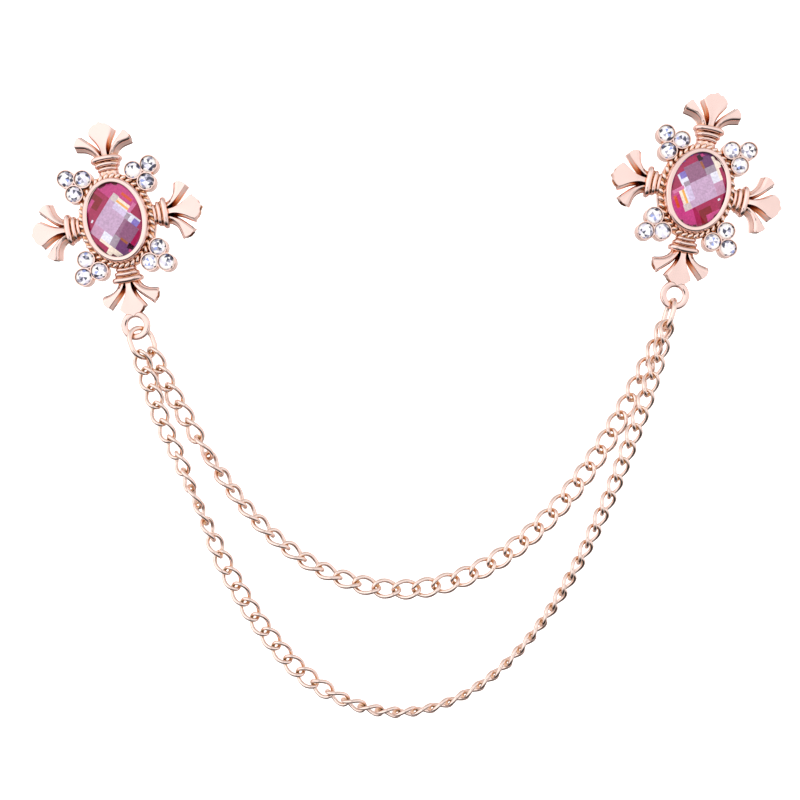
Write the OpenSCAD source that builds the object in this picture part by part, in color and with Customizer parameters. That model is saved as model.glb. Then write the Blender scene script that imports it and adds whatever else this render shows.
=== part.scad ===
// Lapel chain: two bow-armed cross brooches with an oval domed stone each,
// joined by an upper and a lower curb chain that hang from oval jump rings.
// Millimetres. +X to the right as worn, +Z up, the front faces -Y.
// Origin: centre of the left brooch's flat back, where it lies on the cloth.

/* [View] */
// Sub-part to draw, or "all"

/* [Layout] */
// centre of the right brooch's back, x and z
right_at = [115.1, 5.9];
// lean of each brooch about its own centre, left-handed turn positive
left_lean = 10.4;
right_lean = -12;

/* [Setting] */
// the oval stone's girdle, width and height
stone_size = [12, 16];
stone_gap = 0.05;
bezel_wall = 0.6;
bezel_top = 3.7;
lip_cover = 0.56;
plate_thick = 1.2;
// how far the rope border reaches outside the bezel
rope_out = 0.85;
rope_rise = 2.35;
rope_lobes = 38;
// reach of the arms beyond the oval stone, up and down, then left and right
arm_up = 11.7;
arm_down = 11.0;
arm_side = 10.9;
// centre of the loop below the tip of the lowest petal
// the petals' back above the cloth, and how far their walls lean out
petal_back = 0.15;
petal_draft = 0.38;
loop_drop = 2.1;
loop_ring = 2.25;
// the loop's section: half thickness, and how far its flat sides reach
loop_wire = 0.45;
loop_flat = 0.22;
// height of the loop's middle above the back
loop_rise = 1.75;
post_r = 0.5;
post_long = 9;

/* [Clusters] */
round_stone = 3.1;
cup_wall = 0.42;
cup_top = 2.5;
// middle of the upper right cluster, from the corner of the oval stone's box
cluster_mid = [0.9, 0.52];
// clear space between two round stones of a cluster
cluster_gap = 0.3;

/* [Jump rings] */
ring_wire = 1.0;
// centreline length and width
ring_size = [6.2, 5.0];
// turn of each ring about its own length, 0 lies edge-on to the front
ring_turn = [52, -4];
// how far below the loop's centre the top of each ring hangs
ring_hang = [0.6, 0.98];
// slant of each ring in the front plane and its lean towards the front
ring_slant = [21, -17];
ring_forward = 4;

/* [Chains] */
upper_links = 38;
upper_pitch = 3.975;
upper_wire = 0.86;
upper_width = 4.15;
lower_links = 54;
lower_pitch = 3.564;
lower_wire = 0.78;
lower_width = 3.9;
// clear space left between the bends of two neighbouring links
upper_slack = 0.36;
lower_slack = 0.34;
link_twist = -43;
// depth of each chain in front of the cloth, away from its ends
upper_depth = 1.9;
lower_depth = 4.1;
// how far apart round a ring's lowest bend the two chains hang, each way, degrees
ring_share = [31, 28];
// share of the length in which a chain's depth eases
ease_share = 0.05;

/* [Hidden] */
// share of the chain's length and roll of the flat links there, degrees
upper_roll = [[0, 14], [.085, 22], [.108, 36], [.162, 100], [.19, 114], [.24, 114], [.3, 120],
    [.38, 126], [.43, 146], [.51, 174], [.88, 176], [1, 222]];
lower_roll = [[0, 2], [.057, 8], [.076, 24], [.113, 42], [.151, 76], [.189, 108], [.226, 160], [.245, 175],
    [.377, 175], [.396, 200], [.415, 228], [.453, 240], [.51, 252], [.64, 252], [.72, 238], [.8, 223],
    [.88, 208], [.94, 200], [.97, 204], [1, 222]];
// how far each chain lies inside a free hanging curve, by share of its length
upper_bow = [[0, 0], [.1, .45], [.16, .4], [.28, 0], [.45, .1], [.6, .25], [.8, .25], [.93, .2], [1, 0]];
lower_bow = [[0, 0], [.05, .4], [.12, 1.4], [.18, 1.65], [.24, 1.3], [.3, 1.05], [.38, .6], [.46, .6],
    [.55, .75], [.65, .85], [.75, .9], [.86, .7], [.94, .35], [1, 0]];
// petal outlines: share of its length, half width, sideways bend, height of the middle
mid_petal = [[0, 0.6, 0, 1.9], [0.3, 0.5, 0, 2.25], [0.5, 0.68, 0, 2.42], [0.7, 1.15, 0, 2.44],
    [0.86, 1.75, 0, 2.4], [1, 2.4, 0, 2.36]];
side_petal = [[0, 0.5, 1.15, 1.8], [0.3, 0.45, 1.45, 2.1], [0.55, 0.6, 2.15, 2.3],
    [0.76, 0.85, 3.2, 2.3], [0.9, 1.1, 4.25, 2.26], [1, 1.2, 5.15, 2.2]];

// names of the round stones: side, quarter, place in the quarter
quarters = ["tr", "tl", "bl", "br"];
places = ["out", "mid", "rim"];
round_names = [for (s = ["left", "right"], q = quarters, p = places) str(s, "_", q, "_", p, "_stone")];

// half size of the oval stone, reach of the arms and of the loop from the centre
half_stone = stone_size / 2;
reach = [half_stone[0] + arm_side, half_stone[1] + arm_up, half_stone[1] + arm_down];
loop_y = reach[2] + loop_drop;
// directions of the three stones of a cluster from its middle, degrees
cluster_turn = [43, 158, -79];
cluster_at = [for (t = cluster_turn) half_stone + cluster_mid
    + (round_stone + cluster_gap) / sqrt(3) * [cos(t), sin(t)]];
// web between a cluster and the plate, from the corner of the oval stone's box
cluster_web = [[-2.8, -0.6], [-1.4, 0.6], [1.4, -2.0], [0.2, -3.8]];

rose = [0.93, 0.72, 0.64];
pink = [0.75, 0.12, 0.33];
clear = [0.9, 0.92, 0.97];

function unit(v) = v / norm(v);
function mix(a, b, t) = a + (b - a) * t;
// value at t in a table of rows [t, value]
function lookup_smooth(tab, t, i = 0) = i >= len(tab) - 2 || t <= tab[i + 1][0] ?
    let (f = max(0, min(1, (t - tab[i][0]) / (tab[i + 1][0] - tab[i][0]))), g = f * f * (3 - 2 * f))
    mix(tab[i][1], tab[i + 1][1], g) : lookup_smooth(tab, t, i + 1);
function flat(lists) = [for (l = lists, v = l) v];
function oval(a, b, n) = [for (i = [0:n - 1]) [a * cos(360 * i / n), b * sin(360 * i / n)]];

// closed tube of rings of points: each ring has m points
function tube_faces(n, m) = flat([for (i = [0:n - 1]) let (k = (i + 1) % n) flat([for (j = [0:m - 1])
    let (l = (j + 1) % m) [[i * m + j, k * m + j, k * m + l], [i * m + j, k * m + l, i * m + l]]])]);
// open loft of n six-point sections with end caps
function loft_faces(n, m) = concat(flat([for (i = [0:n - 2]) flat([for (j = [0:m - 1])
    let (l = (j + 1) % m) [[(i + 1) * m + l, i * m + l, i * m + j],
    [(i + 1) * m + j, (i + 1) * m + l, i * m + j]]])]),
    cap_faces(0, false), cap_faces((n - 1) * m, true));
// a six-point section: three points below, three above
function cap_faces(o, turned) = [for (f = [[0, 1, 5], [1, 4, 5], [1, 2, 4], [2, 3, 4]])
    turned ? [o + f[2], o + f[1], o + f[0]] : [o + f[0], o + f[1], o + f[2]]];

// local frame of a brooch: x right, y up, z towards the front
module on_brooch(side) {
    at = side == "left" ? [0, 0] : right_at;
    translate([at[0], 0, at[1]]) rotate([90, 0, 0])
        rotate([0, 0, side == "left" ? left_lean : right_lean]) children();
}

// oval collar that holds the stone: wall, shoulder and turned-in lip
module bezel() {
    a = half_stone[0] + stone_gap;
    b = half_stone[1] + stone_gap;
    w = bezel_wall;
    prof = [[-0.3, 0.4], [w + 0.1, 0.4], [w + 0.1, 2.4], [w - 0.02, bezel_top - 0.3],
        [w - 0.3, bezel_top], [-lip_cover + 0.1, bezel_top], [-lip_cover, bezel_top - 0.16],
        [0, bezel_top - 0.55], [0, plate_thick + 0.5], [-0.3, plate_thick]];
    n = 36;
    // the profile is offset along the oval's own normal
    pts = flat([for (i = [0:n - 1]) let (t = 360 * i / n, nx = unit([b * cos(t), a * sin(t)]))
        [for (j = [len(prof) - 1:-1:0]) let (p = prof[j])
            [a * cos(t) + nx[0] * p[0], b * sin(t) + nx[1] * p[0], p[1]]]]);
    color(rose) polyhedron(pts, tube_faces(n, len(prof)), convexity = 6);
}

// flat oval plate behind the stone, with a stepped foot under the rope border
module base_plate() {
    a = half_stone[0] + bezel_wall + rope_out - 0.15;
    b = half_stone[1] + bezel_wall + rope_out - 0.15;
    color(rose) linear_extrude(plate_thick) polygon(oval(a, b, 72));
}

// slanted strands of the rope border round the foot of the bezel
module rope_border() {
    a = half_stone[0] + bezel_wall + rope_out * 0.42;
    b = half_stone[1] + bezel_wall + rope_out * 0.42;
    color(rose) for (i = [0:rope_lobes - 1]) {
        t = 360 * (i + 0.5) / rope_lobes;
        d = unit([b * cos(t), a * sin(t)]);
        translate([a * cos(t), b * sin(t), rope_rise / 2 + 0.35]) rotate([0, 0, atan2(d[1], d[0])])
            rotate([32, 0, 0]) cylinder(h = rope_rise - 0.5, r = 0.5, center = true);
    }
}

// one ribbon petal along +x from the collar, from a table of shares
module petal(tab, from_r, to_r, side, notch) {
    n = len(tab);
    pts = flat([for (i = [0:n - 1])
        let (row = tab[i], nxt = tab[min(n - 1, i + 1)], prv = tab[max(0, i - 1)],
            x = mix(from_r, to_r, row[0]),
            dir = unit([(nxt[0] - prv[0]) * (to_r - from_r), (nxt[2] - prv[2]) * side]),
            nor = [-dir[1], dir[0]], h = row[1], z = row[3],
            pull = i == n - 1 ? notch : 0)
        [for (q = [[-h - petal_draft, petal_back], [0, petal_back], [h + petal_draft, petal_back],
            [h - 0.05, z - 0.1], [0, z + 0.03], [0.05 - h, z - 0.1]])
            [x + nor[0] * q[0] - dir[0] * (abs(q[0]) < 0.01 ? pull : 0),
             row[2] * side + nor[1] * q[0] - dir[1] * (abs(q[0]) < 0.01 ? pull : 0), q[1]]]]);
    color(rose) polyhedron(pts, loft_faces(n, 6), convexity = 4);
}

// a bound sheaf of three petals along +x, reaching to r
module arm(r) {
    neck = r - 10.1;
    // neck out of the bezel
    color(rose) linear_extrude(2.1) polygon([[neck - 1.3, -2.3], [neck + 1.4, -1.85],
        [neck + 3.4, -1.6], [neck + 3.4, 1.6], [neck + 1.4, 1.85], [neck - 1.3, 2.3]]);
    // band under the ridges, flaring outwards
    color(rose) linear_extrude(2.3) polygon([[neck + 0.9, -1.9], [neck + 2.9, -3.0],
        [neck + 2.9, 3.0], [neck + 0.9, 1.9]]);
    // three rounded ridges that bind the sheaf
    color(rose) for (k = [[1.0, 1.85, 0.5, 2.35], [1.85, 2.3, 0.5, 2.5], [2.8, 2.65, 0.6, 2.6]])
        translate([neck + k[0], 0, k[3] - k[2]]) rotate([90, 0, 0]) {
            cylinder(h = 2 * k[1], r = k[2], center = true);
            for (e = [-1, 1]) translate([0, 0, e * k[1]]) sphere(r = k[2]);
        }
    petal(mid_petal, neck + 2.7, r - 1.4, 1, -1.4);
    for (e = [-1, 1]) petal(side_petal, neck + 2.6, r - 2.7, e, -0.35);
}

module arms() {
    rotate([0, 0, 90]) arm(reach[1]);
    rotate([0, 0, -90]) arm(reach[2]);
    for (t = [0, 180]) rotate([0, 0, t]) arm(reach[0]);
}

// trefoil of three cups and the web that ties it to the plate
module cluster_body() {
    r = round_stone / 2 + stone_gap + cup_wall;
    color(rose) {
        for (c = cluster_at) translate([c[0], c[1], 0]) cylinder(h = cup_top, r = r);
        linear_extrude(plate_thick) polygon(cluster_at);
        linear_extrude(plate_thick) polygon([for (w = cluster_web) half_stone + w]);
        linear_extrude(cup_top - 0.4) polygon(cluster_at);
    }
}
module cluster_bores() {
    for (c = cluster_at) translate([c[0], c[1], 0.75]) cylinder(h = 5, r = round_stone / 2 + stone_gap);
}
// the four clusters are mirror images about both axes
module each_quarter() {
    for (sx = [1, -1], sy = [1, -1]) mirror([sx < 0 ? 1 : 0, 0, 0]) mirror([0, sy < 0 ? 1 : 0, 0]) children();
}

module loop() {
    color(rose) translate([0, -loop_y, loop_rise]) rotate_extrude() translate([loop_ring, 0]) {
        for (e = [-1, 1]) translate([e * loop_flat, 0]) circle(loop_wire);
        square([2 * loop_flat, 2 * loop_wire], center = true);
    }
    // short tongue that ties the loop to the back of the lowest petal
    color(rose) translate([0, 0, loop_rise - loop_wire]) linear_extrude(0.8)
        polygon([for (e = [[-1, 0], [1, 0], [1, 1], [-1, 1]])
            [0.9 * e[0], e[1] == 0 ? 2.5 - reach[1] : loop_ring - 0.05 - loop_y]]);
}

module post() {
    color(rose) translate([0, 0, -post_long]) cylinder(h = post_long + 0.6, r = post_r);
    color(rose) translate([0, 0, -post_long - 0.6]) cylinder(h = 0.6, r1 = 0.12, r2 = post_r);
}

module setting(side) {
    on_brooch(side) {
        difference() {
            union() {
                base_plate();
                bezel();
                rope_border();
                arms();
                each_quarter() cluster_body();
                loop();
                post();
            }
            each_quarter() cluster_bores();
        }
    }
}

// domed oval stone with a lozenge table, sloping lozenges, rim facets and a pointed back
module oval_stone(side) {
    a = half_stone[0];
    b = half_stone[1];
    seat = bezel_top - 0.62;
    table_r = 0.51;
    ring_r = 0.89;
    table_z = 1.26;
    ring_z = 0.46;
    // the corner kites stay flat, so their outer point lies lower
    tip_z = table_z + (ring_z - table_z) * (ring_r - table_r) / (ring_r * cos(30) - table_r);
    pts = concat(
        [for (i = [0:3]) [a * table_r * cos(90 * i), b * table_r * sin(90 * i), table_z]],
        [for (i = [0:11]) [a * ring_r * cos(30 * i), b * ring_r * sin(30 * i), i % 3 == 0 ? tip_z : ring_z]],
        [for (i = [0:23]) [a * cos(15 * i), b * sin(15 * i), 0]],
        [for (i = [0:23]) [a * cos(15 * i), b * sin(15 * i), -0.3]],
        [for (i = [0:7]) [a * 0.34 * cos(45 * i), b * 0.34 * sin(45 * i), -1.72]]);
    crown = concat([[3, 2, 1, 0]],
        [for (i = [0:3]) [i, (i + 1) % 4, 4 + i * 3 + 2, 4 + i * 3 + 1]],
        [for (i = [0:3]) [i, 4 + i * 3 + 1, 4 + i * 3, 4 + (i * 3 + 11) % 12]]);
    rim = flat([for (i = [0:11])
        let (p = 4 + i, q = 4 + (i + 1) % 12,
            g = 16 + 2 * i, h = 16 + (2 * i + 1) % 24, k = 16 + (2 * i + 2) % 24)
        [[p, q, h], [p, h, g], [q, k, h]]]);
    girdle = flat([for (i = [0:23]) let (k = (i + 1) % 24)
        [[16 + i, 16 + k, 40 + k], [16 + i, 40 + k, 40 + i]]]);
    back = flat([for (i = [0:7]) let (k = (i + 1) % 8, g = 40 + 3 * i)
        [[g, g + 1, 64 + i], [g + 1, g + 2, 64 + i], [g + 2, 40 + (3 * i + 3) % 24, 64 + k],
        [g + 2, 64 + k, 64 + i]]]);
    on_brooch(side) color(pink) translate([0, 0, seat])
        polyhedron(pts, concat(crown, rim, girdle, back, [[for (i = [0:7]) 64 + i]]), convexity = 3);
}

// round brilliant: eight-sided table and crown, girdle and pointed back
module round_cut(side, q, p) {
    c = cluster_at[p];
    sx = q == 0 || q == 3 ? 1 : -1;
    sy = q < 2 ? 1 : -1;
    r = round_stone / 2;
    on_brooch(side) color(clear) translate([c[0] * sx, c[1] * sy, cup_top - 0.45]) {
        cylinder(h = 0.62, r1 = r, r2 = r * 0.6, $fn = 8);
        translate([0, 0, -0.15]) cylinder(h = 0.15, r = r, $fn = 8);
        translate([0, 0, -1.15]) cylinder(h = 1, r1 = 0.25, r2 = r, $fn = 8);
    }
}

function loop_at(side) = let (a = side == 0 ? [0, 0] : right_at, t = side == 0 ? left_lean : right_lean)
    [a[0] + loop_y * sin(t), -loop_rise, a[1] - loop_y * cos(t)];
// unit direction in which a jump ring hangs, and the direction across it
function ring_down(i) = let (s = ring_slant[i], f = ring_forward)
    [sin(s) * cos(f), -sin(f), -cos(s) * cos(f)];
function ring_across(i) = let (d = ring_down(i), t = ring_turn[i], e = [sin(t), cos(t), 0])
    unit(e - d * (e * d));
// highest and lowest point of the ring's centreline
function ring_top(i) = let (s = ring_slant[i], l = loop_at(i), k = ring_hang[i])
    l + [sin(s) * k, 0, -cos(s) * k];
function ring_bottom(i) = ring_top(i) + ring_down(i) * ring_size[0];

module jump_ring(i) {
    d = ring_down(i);
    w = ring_across(i);
    n = cross(w, d);
    half = (ring_size[0] - ring_size[1]) / 2;
    mid = ring_top(i) + d * ring_size[0] / 2;
    // x of the ring's own frame runs across it, y up its length
    color(rose) multmatrix([[w[0], -d[0], -n[0], mid[0]], [w[1], -d[1], -n[1], mid[1]],
        [w[2], -d[2], -n[2], mid[2]], [0, 0, 0, 1]]) {
        for (e = [0, 1]) mirror([0, e, 0]) {
            translate([0, half, 0]) rotate_extrude(angle = 180)
                translate([ring_size[1] / 2, 0]) circle(ring_wire / 2);
        }
        for (e = [-1, 1]) translate([e * ring_size[1] / 2, 0, 0]) rotate([90, 0, 0])
            cylinder(h = 2 * half, r = ring_wire / 2, center = true);
    }
}

function sinh(x) = (exp(x) - exp(-x)) / 2;
function asinh(x) = ln(x + sqrt(x * x + 1));
// a hanging chain's parameter from its width, rise and length, by halving
function cat_a(dx, c, lo = 5, hi = 400, k = 50) = k == 0 ? (lo + hi) / 2 :
    let (m = (lo + hi) / 2, wide = 2 * m * sinh(dx / 2 / m) > c)
    cat_a(dx, c, wide ? m : lo, wide ? hi : m, k - 1);

// centres of the links of one chain; the depth eases to the middle
function chain_places(n, pitch, from, to, depth, bow) =
    let (len = (n - 1) * pitch, dx = to[0] - from[0], dz = to[2] - from[2],
        a = cat_a(dx, sqrt(len * len - dz * dz)),
        th = ln((len + dz) / (len - dz)) / 2,
        x0 = dx / 2 - a * th, s0 = a * sinh(-x0 / a))
    [for (i = [0:n - 1]) let (s = s0 + i * pitch, x = x0 + a * asinh(s / a),
        z = sqrt(a * a + s * s) - sqrt(a * a + s0 * s0), t = i / (n - 1),
        e = exp(-pow(t / ease_share, 2)), f = exp(-pow((1 - t) / ease_share, 2)),
        y = mix(mix(depth, from[1], e), to[1], f), in = lookup_smooth(bow, t) / sqrt(a * a + s * s))
        [from[0] + x - s * in, y, from[2] + z + a * in]];

// one twisted oval link along +x, lying flat in the x-y plane
module link(half_long, half_wide, wire) {
    n = 12;
    m = 5;
    function at(t) = let (f = link_twist * cos(t))
        [half_long * cos(t), half_wide * sin(t) * cos(f), half_wide * sin(t) * sin(f)];
    pts = flat([for (i = [0:n - 1]) let (t = 360 * i / n, c = at(t), d = unit(at(t + 1) - at(t - 1)),
        f = link_twist * cos(t), u = unit(cross([0, -sin(f), cos(f)], d)), v = cross(d, u))
        [for (j = [0:m - 1]) c + wire / 2 * (u * cos(360 * j / m) + v * sin(360 * j / m))]]);
    polyhedron(pts, tube_faces(n, m), convexity = 4);
}

module chain(n, pitch, wire, width, slack, roll, bow, from, to, depth) {
    places = chain_places(n, pitch, from, to, depth, bow);
    color(rose) for (i = [0:n - 1]) {
        p = places[i];
        nxt = places[min(n - 1, i + 1)];
        prv = places[max(0, i - 1)];
        d = unit(nxt - prv);
        // flat face towards the front, then rolled about the heading
        up = unit(cross([0, -1, 0], d));
        fr = cross(d, up);
        g = lookup_smooth(roll, i / (n - 1));
        y = up * cos(g) + fr * sin(g);
        z = fr * cos(g) - up * sin(g);
        multmatrix([[d[0], y[0], z[0], p[0]], [d[1], y[1], z[1], p[1]], [d[2], y[2], z[2], p[2]],
            [0, 0, 0, 1]]) link(pitch / 2 + wire / 2 + slack / 2, (width - wire) / 2, wire);
    }
}

// first and last link centres: each end link's bend lies inside the ring's lowest bend
function link_start(i, across, dir, half_long, wire) =
    let (b = ring_bottom(i), w = ring_across(i), r = ring_size[1] / 2)
    b + w * r * sin(across) - ring_down(i) * r * (1 - cos(across))
    + dir * (half_long - ring_wire / 2 - wire / 2 - 0.4);
function half_long(pitch, wire, slack) = pitch / 2 + wire / 2 + slack / 2;

module upper_chain() {
    h = half_long(upper_pitch, upper_wire, upper_slack);
    chain(upper_links, upper_pitch, upper_wire, upper_width, upper_slack, upper_roll, upper_bow,
        link_start(0, ring_share[0], [0.4, 0, -0.917], h, upper_wire),
        link_start(1, ring_share[1], [-0.42, 0, -0.907], h, upper_wire),
        -upper_depth);
}
module lower_chain() {
    h = half_long(lower_pitch, lower_wire, lower_slack);
    chain(lower_links, lower_pitch, lower_wire, lower_width, lower_slack, lower_roll, lower_bow,
        link_start(0, -ring_share[0], [0.22, 0, -0.975], h, lower_wire),
        link_start(1, -ring_share[1], [-0.25, 0, -0.968], h, lower_wire),
        -lower_depth);
}

setting("left");  // left_setting
setting("right");  // right_setting
oval_stone("left");  // left_oval_stone
oval_stone("right");  // right_oval_stone
jump_ring(0);  // left_jump_ring
jump_ring(1);  // right_jump_ring
upper_chain();
lower_chain();
for (s = [0, 1], q = [0:3], p = [0:2])
    round_cut(s == 0 ? "left" : "right", q, p);
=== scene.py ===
# Lapel chain: looks for two cross brooches, their stones, jump rings and the two curb chains.
# Shapes are worked out in millimetres and turned to metres when a piece is finished.
import math
import random

import bmesh
import bpy
from mathutils import Matrix, Vector


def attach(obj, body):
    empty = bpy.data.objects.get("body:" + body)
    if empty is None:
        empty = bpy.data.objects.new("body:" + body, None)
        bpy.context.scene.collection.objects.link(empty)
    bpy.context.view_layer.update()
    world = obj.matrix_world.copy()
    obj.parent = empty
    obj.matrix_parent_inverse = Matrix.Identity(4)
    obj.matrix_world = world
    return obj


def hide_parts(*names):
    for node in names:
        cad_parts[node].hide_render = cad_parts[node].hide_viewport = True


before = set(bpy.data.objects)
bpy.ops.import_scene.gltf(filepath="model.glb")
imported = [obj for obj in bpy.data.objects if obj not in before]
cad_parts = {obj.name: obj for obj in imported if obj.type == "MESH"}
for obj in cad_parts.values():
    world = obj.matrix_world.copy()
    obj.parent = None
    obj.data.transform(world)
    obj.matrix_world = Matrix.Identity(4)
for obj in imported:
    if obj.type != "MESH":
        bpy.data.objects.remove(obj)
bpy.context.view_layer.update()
metresPerMm = 0.001

# where the two brooches sit in mm, how far they and their oval stones turn in degrees, as in the
# frame, and the seed for the tints of their round stones
brooch = {
    "left": {"at": (0.0, 0.0), "lean": 10.4, "stoneTurn": 0, "seed": 4},
    "right": {"at": (115.1, 5.9), "lean": -12.0, "stoneTurn": 170, "seed": 9},
}
# oval stone in mm; seat is the height of its girdle over the brooch's back
stone = {"halfWidth": 6.0, "halfHeight": 8.0, "gap": 0.05, "seat": 3.08}


# Small helpers

def srgb(code):
    # hex text to linear colour
    parts = [int(code[i:i + 2], 16) / 255 for i in (0, 2, 4)]
    return tuple(p / 12.92 if p <= 0.04045 else ((p + 0.055) / 1.055) ** 2.4 for p in parts) + (1.0,)


def mix(a, b, share):
    return a + (b - a) * share


def smooth(share):
    # slow start and slow end, kept between 0 and 1
    share = max(0.0, min(1.0, share))
    return share * share * (3 - 2 * share)


def tableRow(table, share, eased=True):
    # all columns of a table of rows [share, ...] at one share, eased or straight between rows
    for low, high in zip(table, table[1:]):
        if share <= high[0]:
            step = (share - low[0]) / (high[0] - low[0])
            step = smooth(step) if eased else step
            return [mix(a, b, step) for a, b in zip(low[1:], high[1:])]
    return list(table[-1][1:])


def fullTurn(count, offset=0.0):
    # angles of equal steps round a circle
    return [2 * math.pi * (i + offset) / count for i in range(count)]


def circle(centre, radius, around):
    # corners in the plane
    return [(centre[0] + radius * math.cos(t), centre[1] + radius * math.sin(t)) for t in fullTurn(around)]


def ellipse(halfWidth, halfHeight, around, height):
    # corners at one height
    return [(halfWidth * math.cos(t), halfHeight * math.sin(t), height) for t in fullTurn(around)]


def addNode(tree, kind, settings=None, links=None):
    # one node with its settings and what feeds it: a socket, or a node for its first output
    node = tree.nodes.new(kind)
    for key, value in (settings or {}).items():
        if isinstance(key, str) and hasattr(node, key):
            setattr(node, key, value)
        else:
            node.inputs[key].default_value = value
    for key, source in (links or {}).items():
        tree.links.new(source.outputs[0] if hasattr(source, "outputs") else source, node.inputs[key])
    return node


def loft(rings, closed=False):
    # skin over rings of equal length; an open one gets flat ends
    count = len(rings[0])
    verts = [tuple(p) for ring in rings for p in ring]
    faces = []
    for i in range(len(rings) if closed else len(rings) - 1):
        a, b = i * count, (i + 1) % len(rings) * count
        for j in range(count):
            k = (j + 1) % count
            faces.append((a + j, a + k, b + k, b + j))
    if not closed:
        faces.append(tuple(reversed(range(count))))
        faces.append(tuple(range((len(rings) - 1) * count, len(rings) * count)))
    return verts, faces


def prism(outline, low, high):
    return loft([[(x, y, z) for x, y in outline] for z in (low, high)])


def sweep(path, radius, sides):
    # round wire along a path
    rings = []
    for i, point in enumerate(path):
        ahead, behind = path[min(i + 1, len(path) - 1)], path[max(i - 1, 0)]
        heading = (Vector(ahead) - Vector(behind)).normalized()
        side = heading.cross(Vector((0, 0, 1)))
        side = side.normalized() if side.length > 1e-3 else Vector((1, 0, 0))
        up = side.cross(heading)
        rings.append([Vector(point) + side * radius * math.cos(a) + up * radius * math.sin(a)
                      for a in fullTurn(sides)])
    return loft(rings)


def joined(parts):
    verts, faces = [], []
    for partVerts, partFaces in parts:
        start = len(verts)
        verts += partVerts
        faces += [tuple(start + v for v in face) for face in partFaces]
    return verts, faces


def moved(part, matrix):
    return [tuple(matrix @ Vector(v)) for v in part[0]], part[1]


def onBrooch(side):
    # local frame of a brooch: x right, y up, z towards the front
    x, z = brooch[side]["at"]
    stand = Matrix.Rotation(math.radians(90), 4, "X")
    lean = Matrix.Rotation(math.radians(brooch[side]["lean"]), 4, "Z")
    return Matrix.Translation((x, 0, z)) @ stand @ lean


def newObject(name, data):
    # object at the origin, in the scene
    thing = bpy.data.objects.new(name, data)
    bpy.context.scene.collection.objects.link(thing)
    return thing


def outward(mesh):
    # editable copy of a mesh with its faces turned outwards
    shell = bmesh.new()
    shell.from_mesh(mesh)
    bmesh.ops.recalc_face_normals(shell, faces=shell.faces)
    return shell


def makePiece(name, part, material, sharpAngle=38, matrix=None):
    # smooth piece in metres; an edge stays crisp above the angle, in degrees
    mesh = bpy.data.meshes.new(name)
    mesh.from_pydata([tuple(v) for v in part[0]], [], part[1])
    if matrix is not None:
        mesh.transform(matrix)
    mesh.transform(Matrix.Scale(metresPerMm, 4))
    shell = outward(mesh)
    for face in shell.faces:
        face.smooth = True
    for edge in shell.edges:
        edge.smooth = len(edge.link_faces) == 2 and edge.calc_face_angle(0) < math.radians(sharpAngle)
    shell.to_mesh(mesh)
    shell.free()
    mesh.materials.append(material)
    return newObject(name, mesh)


def plainMesh(source, name):
    # the evaluated object as a plain mesh on a new object; the source goes
    graph = bpy.context.evaluated_depsgraph_get()
    mesh = bpy.data.meshes.new_from_object(source.evaluated_get(graph))
    bpy.data.objects.remove(source)
    return newObject(name, mesh)


# Finishes

metal = {
    # each plating's own colour in the open; painted into it by the ambient occlusion, warm orange in folds
    # (painted reflection of the metal in itself) and dark brown in narrow gaps (painted shade)
    "cast": "F9DBD3", "castFold": "F2B280", "castDeep": "8A4A2A",
    "rope": "FBE3DB", "ropeFold": "F8D0B0", "ropeDeep": "B06C40",
    "wire": "FCE4DA", "wireFold": "F0C48E", "wireDeep": "A86C40",
    "roughness": {"cast": 0.1, "rope": 0.12, "wire": 0.14},
    "glossFrom": 0.7, "glossTo": 1.5,  # times the roughness, in the dents' pattern
    "dent": {"cast": 0.006, "rope": 0.003, "wire": 0.003},  # mm deep
    "grain": 1.6,  # mm between the soft dents that polishing leaves
    "paintedShadeReach": 1.4,  # mm within which a wall gets painted shade and warm painted reflection from its neighbour
    "deepShadeAt": 0.1, "foldShadeAt": 0.42, "openAt": 0.76,  # open sky over a spot, as a share, where each colour of the painted shade sits
}
glass = {
    "fleck": 0.35,  # mm between the flecks of the foil
    "mottle": {"pink": 0.4, "clear": 0.03},  # how far the flecks go up and down, as a share
    "depth": {"pink": 0.78, "clear": 0.9},  # share of the tint that comes back from the foil
    "roughness": 0.04, "ior": 1.52,
}


def newMaterial(name):
    # material with its node tree and its shader
    material = bpy.data.materials.new(name)
    material.use_nodes = True
    return material, material.node_tree, material.node_tree.nodes["Principled BSDF"]


def polishedPlate(name, kind):
    # rose gold plate over a polished casting: mirror gloss, soft dents; folds get painted shade and
    # reflection
    material, tree, shader = newMaterial(name)
    place = addNode(tree, "ShaderNodeTexCoord")
    # painted shade and painted reflection: the ramp turns the plate orange, then dark brown, where the
    # ambient occlusion finds less open sky
    paintedShadeMask = addNode(tree, "ShaderNodeAmbientOcclusion",
                     {"samples": 8, "Distance": metal["paintedShadeReach"] * metresPerMm})
    tint = addNode(tree, "ShaderNodeValToRGB", None, {0: paintedShadeMask.outputs["AO"]})
    stops = tint.color_ramp.elements
    stops.new(metal["foldShadeAt"]).color = srgb(metal[kind + "Fold"])
    ends = ((stops[0], metal["deepShadeAt"], kind + "Deep"), (stops[-1], metal["openAt"], kind))
    for stop, openness, code in ends:
        stop.position = openness
        stop.color = srgb(metal[code])
    ripple = addNode(tree, "ShaderNodeTexNoise", {"Scale": 1 / (metal["grain"] * metresPerMm)},
                     {"Vector": place.outputs["Object"]})
    dents = addNode(tree, "ShaderNodeBump", {"Distance": metal["dent"][kind] * metresPerMm},
                    {"Height": ripple})
    roughness = metal["roughness"][kind]
    gloss = addNode(tree, "ShaderNodeMapRange",
                    {"To Min": roughness * metal["glossFrom"], "To Max": roughness * metal["glossTo"]},
                    {"Value": ripple})
    shader.inputs["Metallic"].default_value = 1.0
    tree.links.new(tint.outputs[0], shader.inputs["Base Color"])
    tree.links.new(gloss.outputs[0], shader.inputs["Roughness"])
    tree.links.new(dents.outputs[0], shader.inputs["Normal"])
    return material


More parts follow.
